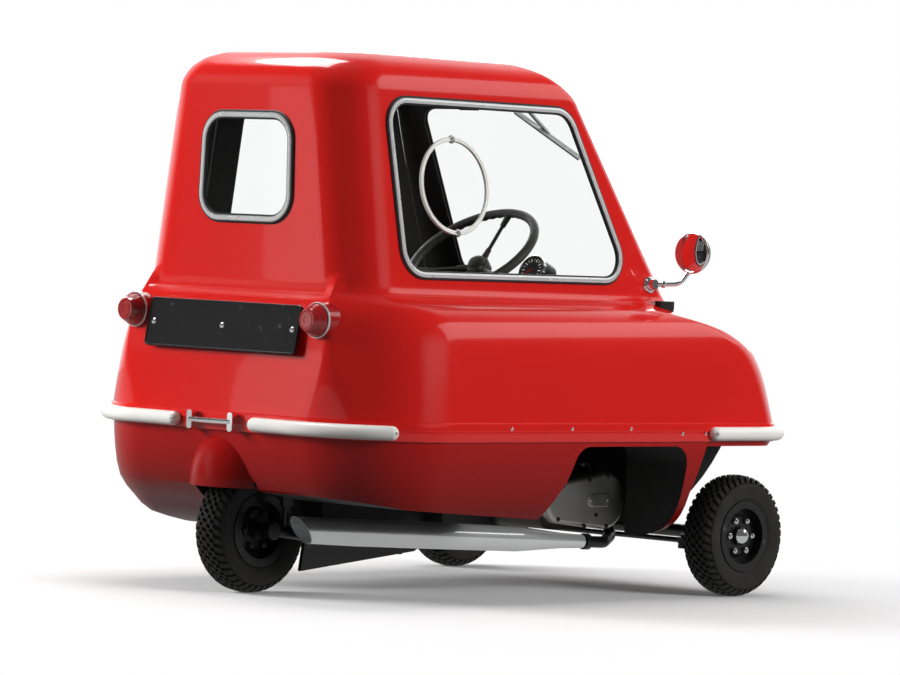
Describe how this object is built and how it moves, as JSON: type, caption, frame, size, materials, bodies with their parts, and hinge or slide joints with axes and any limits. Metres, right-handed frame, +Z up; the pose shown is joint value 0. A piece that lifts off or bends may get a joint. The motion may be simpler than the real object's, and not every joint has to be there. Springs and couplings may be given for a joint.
{
  "type": "three-wheeled microcar",
  "caption": "Tall, narrow three-wheeled microcar with a moulded shell body, a rear-hinged side door, steered front wheels on a tie rod and a rear wheel on a trailing arm.",
  "frame": {"origin": "on the ground under the middle of the car", "axes": "+X forward along the length, +Y to the car's left, +Z up"},
  "size_m": [1.372, 0.99, 1.168],
  "materials": {
    "red_shell": "gloss",
    "glass": "polished",
    "seal_rubber": "matte",
    "chrome": "polished",
    "cream": "gloss",
    "red_lens": "gloss",
    "black_paint": "satin",
    "tyre": "matte",
    "vinyl": "satin",
    "grey_plastic": "satin",
    "alloy": "satin",
    "iron": "matte",
    "steel": "satin",
    "mirror": "polished"
  },
  "bodies": {
    "body": {"upper_shell": "red_shell", "lower_tub": "red_shell", "windscreen_glass": "glass", "windscreen_seal": "seal_rubber", "rear_glass": "glass", "rear_seal": "seal_rubber", "side_glass": "glass", "side_seal": "seal_rubber", "vent_ring": "cream", "tail_lamp_bases": "chrome", "tail_lamps": "red_lens", "number_plate": "black_paint", "lift_handle": "chrome", "rear_bumpers": "cream", "front_bumpers": "cream", "headlamp_rim": "chrome", "headlamp_lens": "glass", "wing_mirror": "chrome", "wing_mirror_glass": "mirror", "pillar_cap": "seal_rubber", "wiper": "steel", "inside_mirror": "black_paint", "seat_base": "black_paint", "seat_cushion": "vinyl", "seat_back": "vinyl", "steering_column": "grey_plastic", "fascia_shelf": "black_paint", "instrument": "steel", "engine_block": "iron", "engine_cover": "alloy", "exhaust_pipe": "black_paint", "silencer": "chrome", "trailing_arm": "black_paint", "rear_damper": "steel", "front_axle": "black_paint", "hinge_posts": "chrome"},
    "door": {"door_panel": "red_shell", "door_glass": "glass", "door_seal": "seal_rubber", "door_hinges": "chrome", "door_handle": "chrome"},
    "steering": {"steering_wheel": "grey_plastic"},
    "knuckle_left": {"knuckle_left": "black_paint"},
    "knuckle_right": {"knuckle_right": "black_paint"},
    "tie_rod": {"tie_rod": "black_paint"},
    "wheel_front_left": {"tyre_front_left": "tyre", "rim_front_left": "black_paint", "hub_cap_front_left": "chrome"},
    "wheel_front_right": {"tyre_front_right": "tyre", "rim_front_right": "black_paint", "hub_cap_front_right": "chrome"},
    "wheel_rear": {"tyre_rear": "tyre", "rim_rear": "black_paint"}
  },
  "joints": [
    {"name": "door_hinge", "type": "hinge", "parent": "body", "child": "door", "pos_m": [-0.431, 0.482, 0.49], "axis": [0, 0, 1], "range_deg": [0, 70]},
    {"name": "steer", "type": "hinge", "parent": "body", "child": "steering", "pos_m": [0.062, -0.04, 0.742], "axis": [-0.6157, 0, 0.788], "range_deg": [-90, 90]},
    {"name": "knuckle_left_steer", "type": "hinge", "parent": "body", "child": "knuckle_left", "pos_m": [0.536, 0.371, 0.136], "axis": [0, 0, 1], "range_deg": [-30, 30]},
    {"name": "knuckle_right_steer", "type": "hinge", "parent": "body", "child": "knuckle_right", "pos_m": [0.536, -0.371, 0.136], "axis": [0, 0, 1], "range_deg": [-30, 30]},
    {"name": "tie_rod_pivot", "type": "hinge", "parent": "knuckle_left", "child": "tie_rod", "pos_m": [0.436, 0.371, 0.122], "axis": [0, 0, 1], "range_deg": [-30, 30]},
    {"name": "front_left_spin", "type": "hinge", "parent": "knuckle_left", "child": "wheel_front_left", "pos_m": [0.536, 0.43, 0.136], "axis": [0, 1, 0], "continuous": true},
    {"name": "front_right_spin", "type": "hinge", "parent": "knuckle_right", "child": "wheel_front_right", "pos_m": [0.536, -0.43, 0.136], "axis": [0, 1, 0], "continuous": true},
    {"name": "rear_spin", "type": "hinge", "parent": "body", "child": "wheel_rear", "pos_m": [-0.55, 0, 0.136], "axis": [0, 1, 0], "continuous": true}
  ],
  "couplings": [
    {"joint": "knuckle_left_steer", "follows": "steer", "ratio": 0.33333},
    {"joint": "knuckle_right_steer", "follows": "steer", "ratio": 0.33333},
    {"joint": "tie_rod_pivot", "follows": "steer", "ratio": -0.33333}
  ]
}
